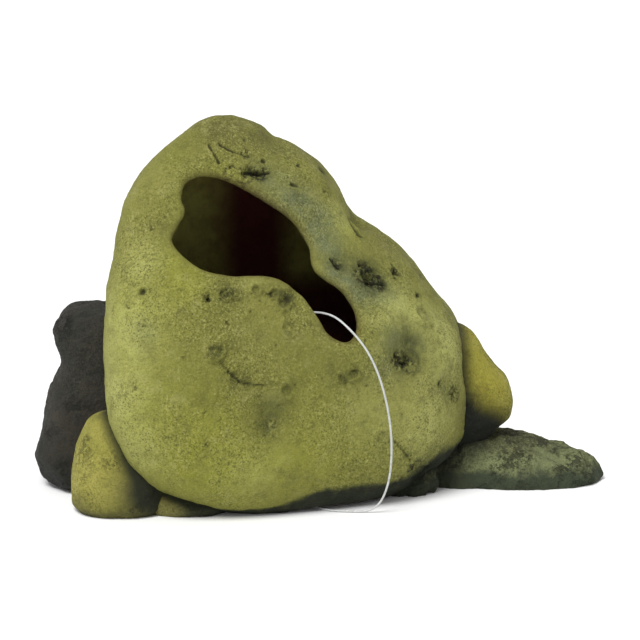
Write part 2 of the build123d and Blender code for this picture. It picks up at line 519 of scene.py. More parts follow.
# Cuts: x and z of both ends, width, depth
CUTS = [
    (-51, 166, -46, 159, 0.9, 1.0),
    (-46, 166, -40, 163, 1.0, 1.1),
    (-40, 163, -33, 161, 0.9, 0.8),
    (-34, 155, -23, 154, 1.3, 1.4),
    (-45, 76, -41, 71, 1.0, 0.8),
    (-41, 71, -36, 66, 1.1, 0.9),
    (-36, 66, -26, 64, 1.0, 0.8),
    (-26, 64, -16, 64, 1.0, 0.6),
    (34, 33, 38, 28, 0.9, 0.8),
    (38, 28, 42, 22, 1.0, 0.9),
    (5, 116, 9, 112, 1.0, 1.4),
    (19, 112, 24, 105, 1.1, 1.4),
    (24, 105, 31, 103, 1.1, 1.2),
    (34, 109, 35, 104, 0.9, 1.2),
    (35, 73, 38, 68, 0.9, 1.2),
    (38, 68, 42, 67, 1.0, 1.2),
    (14, 128, 19, 122, 1.8, 1.6),
    (0, 152, 5, 149, 1.6, 1.3),
]
# Colours laid on in soft clouds, the pale one also a painted highlight: x, z, radius, strength
YELLOWED = [
    (-50, 28, 32, 0.7),
    (-10, 26, 26, 0.5),
    (-78, 50, 20, 0.5),
    (-64, 112, 13, 0.8),
    (-74, 92, 12, 0.4),
    (-86, 100, 9, 0.7),
    (-45, 155, 9, 0.3),
    (12, 127, 9, 0.5),
]
GREYED = [
    (-22, 150, 8, 0.4),
    (-12, 142, 9, 0.6),
    (-2, 132, 9, 0.8),
    (4, 122, 8, 0.7),
    (9, 108, 8, 0.8),
    (18, 100, 7, 0.7),
    (28, 100, 8, 0.4),
    (33, 80, 6, 0.4),
    (-78, 88, 6, 0.3),
    (30, 68, 8, 0.3),
]
# Pale paint, which also stands for the light that the boulder's ends and its left ridge catch
PALED_AND_LIT = [
    (10, 129, 8, 0.6),
    (36, 91, 13, 1.0),
    (54, 80, 13, 0.75),
    (60, 66, 14, 0.75),
    (-88, 92, 16, 0.75),
    (-92, 60, 18, 0.75),
    (-84, 34, 14, 0.5),
    (-80, 118, 9, 0.6),
    (-30, 112, 7, 0.35),
    (-20, 58, 5, 0.3),
    (50, 40, 18, 0.7),
    (24, 46, 14, 0.35),
    (-30, 22, 14, 0.3),
    (-82, 80, 5, 0.5),
]
# Darker olive on the top and in patches on the front
DARKENED = [
    (-46, 174, 16, 0.8),
    (-24, 168, 12, 0.7),
    (-4, 157, 9, 0.55),
    (26, 120, 12, 0.5),
    (44, 106, 8, 0.4),
    (-70, 132, 9, 0.3),
    (-68, 112, 11, 0.6),
    (-27, 50, 16, 0.6),
    (-44, 88, 18, 0.3),
    (-6, 78, 14, 0.3),
    (58, 30, 12, 0.3),
    (-58, 62, 12, 0.2),
    (-15, 8, 14, 0.5),
    (68, 40, 9, 0.5),
]
# Depths that count as a full pit and as fully crumbled
FULL_PIT = 1.2
FULL_CRUMBLE = 1.8
# Noise over the whole boulder: height, size of a lump, layers, seed
BOULDER_NOISE = [(1.5, 42, 2, 11), (0.75, 13, 2, 21), (0.3, 4, 3, 31)]
PIT_COUNT = 90
# Heights above the base below which the outside and the inside turn level, and the share
# of the relief that is left at the base
OUTER_FOOT, INNER_FOOT = 7, 24
FOOT_RELIEF = 0.35
# Columns round the mouth, and rows of the outside, the lip, the rim and the inside
BOULDER_GRID = (520, 144, 10, 6, 32)
# Arch under the front rim: x, and the share of its full height
ARCH_SHARES = [(-16, 0), (-6, 0.85), (8, 1), (26, 0.8), (46, 0)]


def mouth_axes():
    """Directions across and up the mouth's plane, and out of it."""
    turn, tilt = math.radians(MOUTH_TURN), math.radians(MOUTH_TILT)
    across = np.array([math.cos(turn), math.sin(turn), 0])
    outward = np.array([
        math.sin(turn) * math.cos(tilt),
        -math.cos(turn) * math.cos(tilt),
        math.sin(tilt),
    ])
    return across, np.cross(outward, across), outward


def closed_curve(points, count):
    """Closed Catmull-Rom curve through the points, at evenly spaced places along it."""
    start = np.array(points, float)[:, None]
    before, end, after = (np.roll(start, shift, axis=0) for shift in (1, -1, -2))
    t = np.linspace(0, 1, 40, endpoint=False)[None, :, None]
    curve = start + 0.5 * t * (end - before)
    curve = curve + 0.5 * t**2 * (2 * before - 5 * start + 4 * end - after)
    curve = curve + 0.5 * t**3 * (3 * start - before - 3 * end + after)
    curve = curve.reshape(-1, 2)
    steps = np.linalg.norm(np.roll(curve, -1, axis=0) - curve, axis=1)
    travelled = np.concatenate([[0], np.cumsum(steps)])
    wrapped = np.vstack([curve, curve[:1]])
    at = np.linspace(0, travelled[-1], count, endpoint=False)
    return np.stack([np.interp(at, travelled, wrapped[:, axis]) for axis in (0, 1)], axis=1)


def evened(ring, width):
    """Closed ring of points averaged over width neighbours, weighted by a raised cosine."""
    weight = np.hanning(width + 2)[1:-1]
    weight /= weight.sum()
    half = width // 2
    wrapped = np.concatenate([ring[-half:], ring, ring[:half]])
    columns = [np.convolve(column, weight, "valid") for column in wrapped.T]
    return np.stack(columns, axis=1)


def boulder_normals(points):
    """Outward directions on the boulder's plain form: the slope of boulder_share, from
    the differences over a short step each way."""
    step = 0.3 * MM
    top = (BOULDER[-1][0] - 0.01) * MM
    slope = np.zeros(points.shape)
    for axis in range(3):
        ahead, behind = points.copy(), points.copy()
        ahead[..., axis] += step
        behind[..., axis] -= step
        for moved in (ahead, behind):
            moved[..., 2] = np.clip(moved[..., 2], 0, top)
        slope[..., axis] = boulder_share(ahead) - boulder_share(behind)
    return slope / np.linalg.norm(slope, axis=-1, keepdims=True)


class BoulderForm:
    """The boulder's plain surface as a function of two parameters. A column runs from the
    mouth's edge over the outside to the base's edge. Seen from a centre on the line
    between the base and the mouth, a column is a cubic in the flat map whose radius is
    the angle from that line: it leaves the mouth's edge squarely and ends radially."""

    def __init__(self, columns, rows, wall):
        across, up, out = mouth_axes()
        outline = evened(closed_curve(MOUTH_OUTLINE, columns), 9) * MM
        ahead = unit(np.roll(outline, -1, axis=0) - np.roll(outline, 1, axis=0))
        away = np.stack([ahead[:, 1], -ahead[:, 0]], axis=1)
        edge = outline + away * wall / 2
        plane = np.array(MOUTH_CENTRE) * MM + edge[:, :1] * across + edge[:, 1:] * up
        self.away = away[:, :1] * across + away[:, 1:] * up
        outwards = np.broadcast_to(out, plane.shape)
        self.start = where_it_leaves(plane - 30 * MM * out, outwards, 0, 80 * MM)

        base_middle = np.array(BOULDER[0][1:3] + (0,)) * MM
        mouth_middle = np.array(MOUTH_CENTRE) * MM + (5 * across + 4 * up) * MM
        self.axis = unit(mouth_middle - base_middle)
        self.centre = base_middle + 0.53 * (mouth_middle - base_middle)
        self.right = unit(np.cross(up, self.axis))
        self.above = np.cross(self.axis, self.right)

        start_map = self.to_map(self.start)
        ends = self.base_map(np.unwrap(np.arctan2(start_map[:, 1], start_map[:, 0])))
        self.outer = self.columns_between(start_map, ends, rows)

    def to_map(self, points):
        """Flat map of directions from the centre: the angle from the axis is the radius."""
        seen = unit(points - self.centre)
        angle = np.arccos(np.clip(seen @ self.axis, -1, 1))
        side = np.stack([seen @ self.right, seen @ self.above], axis=-1)
        return unit(side) * angle[..., None]

    def from_map(self, places):
        """Directions of places on the flat map."""
        angle = np.linalg.norm(places, axis=-1, keepdims=True)
        side = places / np.maximum(angle, 1e-9)
        aside = side[..., :1] * self.right + side[..., 1:] * self.above
        return np.cos(angle) * self.axis + np.sin(angle) * aside

    def base_map(self, bearing):
        """Places of the base's edge on the map, with bearings half way between the mouth
        edge's own and evenly spaced ones."""
        count = len(bearing)
        turns = np.sign(bearing[-1] - bearing[0])
        even = turns * np.arange(count) * 2 * math.pi / count
        even += (bearing - even).mean()
        wanted = 0.5 * even + 0.5 * bearing
        _, centre_x, centre_y, *half_sizes = np.array(BOULDER[0]) * MM
        (x,), (y,) = ring_of(*np.array(half_sizes)[:, None], BOULDER_SQUARENESS, 2000)
        level = centre_y + y + BOULDER_SKEW * x
        ring = np.stack([centre_x + x, level, np.zeros_like(x)], axis=1)
        places = self.to_map(ring)
        seen_at = np.arctan2(places[:, 1], places[:, 0])
        order = np.argsort(seen_at)
        found = [
            np.interp(wanted, seen_at[order], ring[order, axis], period=2 * math.pi)
            for axis in (0, 1, 2)
        ]
        return self.to_map(np.stack(found, axis=1))

    def columns_between(self, start, end, rows):
        """Hermite cubics on the map from start to end, found on the boulder's surface. The
        longer a column is, the closer its rows lie at the mouth, by t(1 - k) + kt^2."""
        reach = np.linalg.norm(end - start, axis=-1)
        closer = 0.6 * (reach / reach.max())[None, :, None]
        t = np.linspace(0, 1, rows)[:, None, None]
        t = t * (1 - closer) + closer * t**2
        squarely = self.to_map(self.start + self.away * MM) - start
        leaving = unit(squarely) * 0.9
        arriving = unit(end) * np.linalg.norm(end - start, axis=-1, keepdims=True)
        places = (2 * t**3 - 3 * t**2 + 1) * start + (t**3 - 2 * t**2 + t) * leaving
        places = places + (3 * t**2 - 2 * t**3) * end + (t**3 - t**2) * arriving
        surface = where_it_leaves(self.centre, self.from_map(places))
        surface[0] = self.start
        return surface


def carved_front(points):
    """Height of the boulder's carving above its plain form, in metres, how deep a point
    lies in a pit or cut, how crumbled it is, and how much dark paint pooled there, which
    also stands for the shade in hollows and inside rings, the last three 0 to 1. A pit or
    cut is a smooth step of the distance to its middle, which noise makes ragged. A hollow,
    knob or crumbled patch falls off as exp(-(d/r)^2), and a ring as the same of the
    distance to a circle."""
    height, deep, crumbled, pooled = np.zeros((4, *points.shape[:-1]))
    fine, broad = lattice_noise(points, 2.2 * MM, 61), lattice_noise(points, 5 * MM, 62)
    ragged = 1 + 0.9 * fine + 0.7 * broad
    clods = layered_noise(points, 3.4 * MM, 3, 63)

    def far_from(x, z):
        """Distance to a place on the front, in millimetres."""
        return np.linalg.norm(points - on_boulder_front(x, z), axis=-1) / MM

    for x, z, radius, rise in KNOBS:
        height += rise * MM * np.exp(-((far_from(x, z) / radius) ** 2))
    for x, z, radius, depth, dark in HOLLOWS:
        bowl = np.exp(-((far_from(x, z) / radius) ** 2))
        height -= depth * MM * bowl
        # dark paint pooled in the hollow, which also stands for the shade in it
        pooled = np.maximum(pooled, dark * np.exp(-((far_from(x, z) / radius / 1.1) ** 2)))
    for x, z, radius, rise in RINGS:
        far = far_from(x, z) * (0.6 + 0.4 * ragged)
        thick = 0.3 * radius
        height += rise * MM * np.exp(-(((far - radius) / thick) ** 2))
        # dark paint inside the ring, which also stands for the shade in it
        within = np.exp(-(((far - 0.55 * radius) / thick) ** 2))
        pooled = np.maximum(pooled, 0.3 * rise * within)
    for x, z, radius, depth in PITS:
        far = far_from(x, z) * ragged
        hole = 1 - smoothstep(0.3 * radius, radius, far)
        height -= hole * depth * MM
        deep = np.maximum(deep, hole * min(1, depth / FULL_PIT))
    for x, z, radius, depth in CRUMBLED:
        patch = np.exp(-((far_from(x, z) / radius) ** 2))
        height -= patch * (0.35 + 0.9 * smoothstep(-0.1, 0.3, clods)) * depth * MM
        crumbled = np.maximum(crumbled, patch * min(1, depth / FULL_CRUMBLE))
    for x_a, z_a, x_b, z_b, width, depth in CUTS:
        ends = on_boulder_front(x_a, z_a), on_boulder_front(x_b, z_b)
        far = distance_to_run(points, *ends) / MM
        groove = 1 - smoothstep(0.1 * width, width, far * ragged)
        height -= groove * depth * MM
        deep = np.maximum(deep, groove * min(1, depth / FULL_PIT))
    return height, deep, crumbled, pooled


def clouds(points, places):
    """Strength of colour laid on in soft clouds, a painted highlight among them: the clouds add up
    as 1 - product(1 - s).
    """
    left = np.ones(points.shape[:-1])
    for x, z, radius, strength in places:
        far = np.linalg.norm(points - on_boulder_front(x, z), axis=-1) / MM
        left *= 1 - strength * np.exp(-((far / radius) ** 2))
    return 1 - left


def scattered_pits(points, form, count, seed):
    """Pits strewn over the whole boulder in loose swarms: depth below the surface in
    metres, and how deep a point lies in one, 0 to 1."""
    rng = np.random.default_rng(seed)
    heading = unit(rng.normal(size=(count * 4, 3)))
    places = where_it_leaves(form.centre, heading)
    swarm = lattice_noise(places, 26 * MM, seed) + 0.25 * rng.random(count * 4)
    places = places[np.argsort(-swarm)[:count]]
    sizes = rng.uniform(0.5, 1.3, count) * MM
    ragged = 1 + 0.5 * lattice_noise(points, 2 * MM, seed + 1)
    down = np.zeros(points.shape[:-1])
    deep = np.zeros(points.shape[:-1])
    for place, size in zip(places, sizes):
        far = np.linalg.norm(points - place, axis=-1) * ragged
        hole = 1 - smoothstep(0.3 * size, size, far)
        down = np.maximum(down, hole * 0.4 * size)
        deep = np.maximum(deep, 0.55 * hole)
    return down, deep


def boulder_relief(points, form):
    """Whole relief of the boulder's outside: the carving, then swells, lumps and grain
    from noise, scattered pits, and dents and gouges behind. Gives the height in metres,
    the pits, the crumbling and the pools of dark paint, which also stand for the shade
    in hollows and dents."""
    height, deep, crumbled, pooled = carved_front(points)
    for rise, size, layers, seed in BOULDER_NOISE:
        height = height + rise * MM * layered_noise(points, size * MM, layers, seed)
    down, spotted = scattered_pits(points, form, PIT_COUNT, 41)
    behind = smoothstep(-5 * MM, 25 * MM, points[..., 1])
    dented = behind * smoothstep(0.12, 0.45, layered_noise(points, 30 * MM, 2, 51))
    gouged = behind * smoothstep(0.3, 0.5, layered_noise(points, 15 * MM, 2, 54))
    height = height - down - (2.6 * dented + 1.2 * gouged) * MM
    crumbled = np.maximum(crumbled, 0.6 * gouged)
    # dark paint in the dents behind, which also stands for the shade in them
    pooled = np.maximum(pooled, 0.45 * dented)
    return height, np.maximum(deep, spotted), crumbled, pooled


def levelled(normals, share):
    """Directions with only that share of their upward part, so that near the base, where
    the share is 0, they lie level."""
    kept = np.stack([np.ones_like(share), np.ones_like(share), share], -1)
    return unit(normals * kept)


def arch_lift(points):
    """Raises the boulder's front rim to the low arch that the loop passes under."""
    x, shares = (np.array(column, float) for column in zip(*ARCH_SHARES))
    gap = bpy.context.scene.cave_sizes.rim_gap
    arch = gap * np.interp(points[..., 0] / MM, x, shares, left=0, right=0)
    arch *= smoothstep(5 * MM, 15 * MM, -points[..., 1])
    points[..., 2] = np.maximum(points[..., 2], arch)
    return points


def rounded_lip(form, skin, inside, edge_normal, wall, rows):
    """Rows that run round the mouth's edge on half circles as thick as the wall, bulged
    to meet the relief of both sides, and each row's share of the way round."""
    sideways = unit(form.away - edge_normal * (form.away * edge_normal).sum(-1, keepdims=True))
    turn = np.linspace(0, math.pi, rows + 2)[1:-1, None, None]
    share = turn / math.pi
    bend = sideways * np.sin(turn) + edge_normal * (1 - np.cos(turn))
    lip = form.outer[0] - bend * wall / 2
    off_skin = skin[0] - form.outer[0]
    off_inside = inside[-1] - form.outer[0] + wall * edge_normal
    bulge = (1 - share) * off_skin + share * off_inside
    facing = edge_normal * np.cos(turn) - sideways * np.sin(turn)
    lumpy = 0.3 * MM * np.sin(turn) * layered_noise(lip, 8 * MM, 3, 81)[..., None]
    return lip + bulge + facing * lumpy, share[..., 0]


def build_boulder():
    """Hollow boulder: a torus-like grid that runs round the mouth one way, and from the
    lip over the outside, under the rim and up the inside the other way."""
    wall = bpy.context.scene.cave_sizes.wall
    columns, outer_rows, lip_rows, rim_rows, inner_rows = BOULDER_GRID
    form = BoulderForm(columns, outer_rows, wall)
    outer = form.outer
    normals = boulder_normals(outer)
    foot = smoothstep(0, OUTER_FOOT * MM, outer[..., 2])
    outward = levelled(normals, foot)
    inward = levelled(normals, smoothstep(0, INNER_FOOT * MM, outer[..., 2]))

    relief, deep, crumbled, pooled = boulder_relief(outer, form)
    skin = outer + outward * (relief * (FOOT_RELIEF + (1 - FOOT_RELIEF) * foot))[..., None]

    picked = np.linspace(outer_rows - 1, 0, inner_rows).round().astype(int)
    inside = outer[picked] - wall * inward[picked]
    rough = 0.7 * MM * layered_noise(inside, 9 * MM, 3, 71)
    inside = inside - inward[picked] * rough[..., None]

    lip, share = rounded_lip(form, skin, inside, normals[0], wall, lip_rows)
    step = np.linspace(0, 1, rim_rows + 2)[1:-1, None, None]
    rim = (1 - step) * skin[-1] + step * inside[0]
    rings = np.concatenate([skin, rim, inside, lip[::-1]])
    rings[..., 2] = np.maximum(rings[..., 2], 0)
    rings = arch_lift(rings)

    def padded(values, rim_value=0, inside_value=0):
        """Numbers of the outside, with fixed ones for the rim and inside, and the lip's
        run from one to the other."""
        rim_values = np.full((rim_rows, columns), rim_value)
        inside_values = np.full((inner_rows, columns), inside_value)
        edge = values[:1] * (1 - share) + inside_value * share
        return np.concatenate([values, rim_values, inside_values, edge[::-1]])

    x, z = outer[..., 0] / MM, outer[..., 2] / MM
    # The dark foot is paint that also stands for the shade under the belly. It is 3 mm high
    # at the left, and rises in two steps to 19 mm at the right
    foot_shade_height = 3 + 7 * smoothstep(-30, 10, x) + 9 * smoothstep(44, 60, x)
    painted_foot_shade = 1 - smoothstep(0.95 * foot_shade_height, 1.55 * foot_shade_height, z)
    attributes = {
        "pits": padded(deep),
        "crumbled": padded(crumbled),
        "pooled": padded(pooled),
        # the foot and the rim underneath get dark paint that also stands for their shade
        "painted_foot_shade": padded(painted_foot_shade, rim_value=1),
        "yellowed": padded(clouds(outer, YELLOWED)),
        "greyed": padded(clouds(outer, GREYED)),
        "paled_and_lit": padded(clouds(outer, PALED_AND_LIT)),
        "darkened": padded(clouds(outer, DARKENED)),
        "inside": padded(np.zeros_like(deep), rim_value=0.3, inside_value=1),
    }
    return make_mesh("boulder", rings, True, attributes)


# ---------------------------------------------------------------- foot stones

# Stone paints as display values, 0 to 255: top, body, foot, dark and light, and then the
# height of the dark foot in metres. The foot paint is painted shade along the foot and
# in the crevice by the boulder
STONE_PAINTS = {
    "ochre": ((162, 156, 74), (150, 146, 66), (34, 37, 20), (84, 82, 36), (188, 180, 100), 0.014),
    "toe": ((128, 124, 66), (116, 112, 56), (34, 38, 20), (62, 62, 30), (160, 154, 90), 0.003),
    "shoulder": ((158, 152, 56), (144, 137, 44), (20, 24, 13), (84, 80, 28), (184, 174, 84), 0.024),
    "charcoal": ((52, 48, 40), (48, 48, 41), (28, 33, 26), (24, 25, 21), (74, 72, 60), 0.026),
}
# Slate paints in the same way: top, ridge and foot, the foot paint a painted shade along the bottom
SLATE_PAINTS = {
    "slate": ((84, 85, 54), (118, 125, 84), (52, 60, 44)),
    "rubble": ((96, 98, 58), (62, 66, 42), (36, 42, 27)),
}
ROOT_DEPTH = 3  # how far a stone reaches into the boulder, in millimetres
# Piece, CAD node, material slot, finish, then as build_stone takes them: its facets, its
# relief, its clouds of painted shade and its seed
FOOT_STONES = [
    ("dark_rock", "rear_left_rock", "dark_rock_resin", "charcoal",
     (16, 2.4, 0.4), (1.4, 15, 0.4), [(-112, -4, 4, 14, 0.5)], 101),
    ("ochre_stone", "front_left_stone", "ochre_stone_resin", "ochre",
     (6, 1.0, 0.9), (0.7, 12, 0.16), [(-76, -46, 14, 17, 1.0), (-94, -22, 44, 9, 0.45)], 111),
    ("toe_stone", "front_toe_stone", "ochre_stone_resin", "toe",
     (6, 0.8, 0.8), (0.8, 9, 0.2), [(-54, -42, 10, 14, 1.0), (-42, -38, 4, 12, 1.0)], 121),
    ("crumbled_foot", "toe_rubble", "slate_resin", "rubble",
     (10, 1.5, 0.6), (2.0, 7, 0.6), [], 131),
    ("ochre_shoulder", "right_stone", "ochre_stone_resin", "shoulder",
     (8, 1.2, 0.9), (0.9, 12, 0.16), [(71, 2, 26, 17, 0.97), (84, 4, 22, 12, 0.8)], 141),
    ("slate_slab", "right_slab", "slate_resin", "slate",
     (12, 2.0, 0.6), (2.0, 12, 0.5), [(60, -4, 12, 12, 0.7), (74, 6, 20, 8, 0.6)], 151),
]


def kept_out_of_boulder(points, depth):
    """Moves points that lie deeper than depth in the boulder straight out, in their own
    level section, until they lie that deep. So a stone ends inside the boulder's wall."""
    centre_x, centre_y, half_width, half_depth = sections_at(BOULDER, points[..., 2])
    wanted = 1 - depth / np.maximum(np.minimum(half_width, half_depth), depth * 1.01)
    share = boulder_share(points)
    too_deep = (share < wanted) & (points[..., 2] < BOULDER[-2][0] * MM)
    scale = np.where(too_deep, wanted / np.maximum(share, 0.02), 1)
    across = points[..., 0] - centre_x
    along = points[..., 1] - centre_y - BOULDER_SKEW * across
    moved = points.copy()
    moved[..., 0] = centre_x + across * scale
    moved[..., 1] = centre_y + BOULDER_SKEW * across * scale + along * scale
    return np.where(too_deep[..., None], moved, points)


def with_underside(side, middle, rows):
    """A form's rings, with that many smaller ones before them round a middle point."""
    share = np.linspace(0.04, 1, rows, endpoint=False)[:, None, None]
    return np.concatenate([middle + share * (side[0] - middle), side])


def stone_rings(stations, squareness, columns, rows):
    """Plain form of a standing stone: a flat underside, then its level sections, closer
    together towards the top, where they shrink to a point."""
    low, high = stations[0][0] * MM, stations[-1][0] * MM
    t = np.linspace(0, 1, rows)
    height = low + (high - low) * (1 - (1 - t) ** 2)
    height[-1] = high - 0.02 * MM
    centre_x, centre_y, half_width, half_depth = sections_at(stations, height)
    x, y = ring_of(half_width, half_depth, squareness, columns)
    level = np.broadcast_to(height[:, None], x.shape)
    side = np.stack([centre_x[:, None] + x, centre_y[:, None] + y, level], -1)
    return with_underside(side, np.array([centre_x[0], centre_y[0], low]), 8)


def slab_rings(squareness, columns, rows):
    """Plain form of the lying slab: upright superellipse sections along x, cut at z = 0."""
    table = np.array(RIGHT_SLAB, float) * MM
    t = np.linspace(0, 1, rows)
    x = table[0, 0] + (table[-1, 0] - table[0, 0]) * (1 - (1 - t) ** 1.6)
    x[-1] = table[-1, 0] - 0.02 * MM
    centre_y, centre_z, half_depth, half_height = sections_at(RIGHT_SLAB, x)
    y, z = ring_of(half_depth, half_height, squareness, columns)
    upright = np.broadcast_to(x[:, None], y.shape)
    side = np.stack([upright, centre_y[:, None] + y, centre_z[:, None] + z], -1)
    return with_underside(side, np.array([x[0], centre_y[0], centre_z[0]]), 6)


def chiselled(rings, cuts, depth, seed, softness):
    """Flattens a form with seeded planes, each that deep under its farthest point. Points
    past a plane go back to it by a soft minimum, so the new edges stay rounded."""
    rng = np.random.default_rng(seed)
    middle = rings.reshape(-1, 3).mean(0)
    for heading, share in zip(unit(rng.normal(size=(cuts, 3))), rng.uniform(0.3, 1, cuts)):
        reach = (rings - middle) @ heading
        plane = reach.max() - depth * share
        past = softness * np.logaddexp(0, (reach - plane) / softness)
        rings = rings - past[..., None] * heading
    return rings


def build_stone(name, rings, facets, relief, shade, seed):
    """Finished stone: facets, then lumps and grain from noise along its normals. facets
    is cuts, depth and softness, and relief is lump height, lump cell and grain height,
    in millimetres. shade lists clouds of painted shade, each x, y, z, radius and strength,
    besides the painted shade in the crevice along the boulder, which fades out over 5 mm."""
    low = max(rings[..., 2].min(), 0)
    cuts, depth, softness = facets
    lump_height, lump_cell, grain_height = (value * MM for value in relief)
    rings = chiselled(rings, cuts, depth * MM, seed, softness * MM)
    normals = grid_normals(rings)
    lumps = layered_noise(rings, lump_cell, 3, seed + 1)
    grain = layered_noise(rings, 3 * MM, 2, seed + 9)
    height = lump_height * lumps + grain_height * grain
    patch = smoothstep(0.1, 0.4, lattice_noise(rings, 16 * MM, seed + 11))
    pits = patch * smoothstep(0.3, 0.5, lattice_noise(rings, 3 * MM, seed + 13))
    height = height - 2.5 * grain_height * pits
    rings = rings + normals * height[..., None]
    rings = kept_out_of_boulder(rings, ROOT_DEPTH * MM)
    rings[..., 2] = np.maximum(rings[..., 2], low)
    _, _, half_width, half_depth = sections_at(BOULDER, rings[..., 2])
    away = (boulder_share(rings) - 1) * np.minimum(half_width, half_depth)
    # painted shade: darker in the crevice along the boulder, and in each cloud
    light = 0.4 + 0.6 * smoothstep(-0.5 * MM, 5 * MM, away)
    for x, y, z, radius, strength in shade:
        far = np.linalg.norm(rings / MM - (x, y, z), axis=-1)
        light *= 1 - strength * np.exp(-((far / radius) ** 2))
    attributes = {"pits": 0.8 * pits, "crumbled": patch, "shaded": 1 - light}
    return make_mesh(name, rings, False, attributes)


def foot_finishes():
    """The stones' materials, by name."""
    finishes = {}
    for name, (*paints, foot_height) in STONE_PAINTS.items():
        colours = [painted(*paint) for paint in paints]
        finishes[name] = stone_finish(name + "_paint", *colours, foot_height)
    for name, paints in SLATE_PAINTS.items():
        finishes[name] = slate_finish(name + "_paint", *(painted(*paint) for paint in paints))
    return finishes


def foot_stones():
    """The six stones: each one's piece, its CAD node and its material slot."""
    finishes = foot_finishes()
    dense, sparse = (300, 150), (220, 110)
    plain_forms = {
        "dark_rock": stone_rings(REAR_LEFT_ROCK, 3.0, *dense),
        "ochre_stone": stone_rings(FRONT_LEFT_STONE, 2.5, *dense),
        "toe_stone": stone_rings(FRONT_TOE_STONE, 2.5, *sparse),
        "crumbled_foot": stone_rings(TOE_RUBBLE, 2.5, *sparse),
        "ochre_shoulder": stone_rings(RIGHT_STONE, 2.5, *dense),
        "slate_slab": slab_rings(2.3, 260, 200),
    }
    stones = []
    for name, node, slot, finish, facets, relief, shade, seed in FOOT_STONES:
        piece = build_stone(name, plain_forms[name], facets, relief, shade, seed)
        piece.data.materials.append(finishes[finish])
        stones.append({"piece": piece, "node": node, "slot": slot})
    return stones


# ---------------------------------------------------------------- loop and floor

# Nylon loop's length and its lock's place and size, in metres and degrees
LOCK_CENTRE = (-0.015, -0.0168, 0.0014)
LOCK_SIZE = (0.0065, 0.0036, 0.0026)
LOCK_TURN = 156


def build_lock():
    """Snap lock: a rounded block along the filament, with a collar at each end. Its
    section is a superellipse whose size follows a profile along its length."""
    half = [
        (0.3, 0.8), (0.55, 0.84), (0.6, 1.0), (0.78, 1.0), (0.9, 0.92), (0.98, 0.72), (1.0, 0.35)
    ]
    profile = np.array([(-place, size) for place, size in reversed(half)] + half)
    length, width, height = LOCK_SIZE
    turn = math.radians(LOCK_TURN)
    along = np.array([math.cos(turn), math.sin(turn), 0])
    aside = np.array([-math.sin(turn), math.cos(turn), 0])
    knots = np.arange(len(profile))
    steps = np.linspace(0, knots[-1], 4 * knots[-1] + 1)
    at, share = (np.interp(steps, knots, column) for column in profile.T)
    y, z = ring_of(share * width / 2, share * height / 2, 4.0, 48)
    rings = np.array(LOCK_CENTRE) + (at * length / 2)[:, None, None] * along
    rings = rings + y[..., None] * aside + z[..., None] * np.array([0, 0, 1.0])
    return make_mesh("loop_catch", rings, False, {})


def make_floor(grid):
    """Flat floor from a square grid of points."""
    count = grid.shape[0]
    number = np.arange(count * count).reshape(count, count)
    quads = np.stack([number[:-1, :-1], number[:-1, 1:], number[1:, 1:], number[1:, :-1]], -1)
    mesh = bpy.data.meshes.new("floor")
    mesh.from_pydata(grid.reshape(-1, 3).tolist(), [], quads.reshape(-1, 4).tolist())
    floor = bpy.data.objects.new("floor", mesh)
    bpy.context.collection.objects.link(floor)
    return floor


# ---------------------------------------------------------------- finishes


def painted(red, green, blue):
    """Linear colour from the three display values, 0 to 255, that a paint is mixed to."""
    display = np.array([red, green, blue]) / 255
    linear = np.where(display <= 0.04045, display / 12.92, ((display + 0.055) / 1.055) ** 2.4)
    return tuple(float(value) for value in linear)


# Paints that the slab and the rubble share
SLATE_DARK = painted(46, 48, 30)
SLATE_LIGHT = painted(146, 150, 106)
# painted shade in the crevice along the boulder
SLATE_CREVICE_SHADE = painted(24, 29, 17)


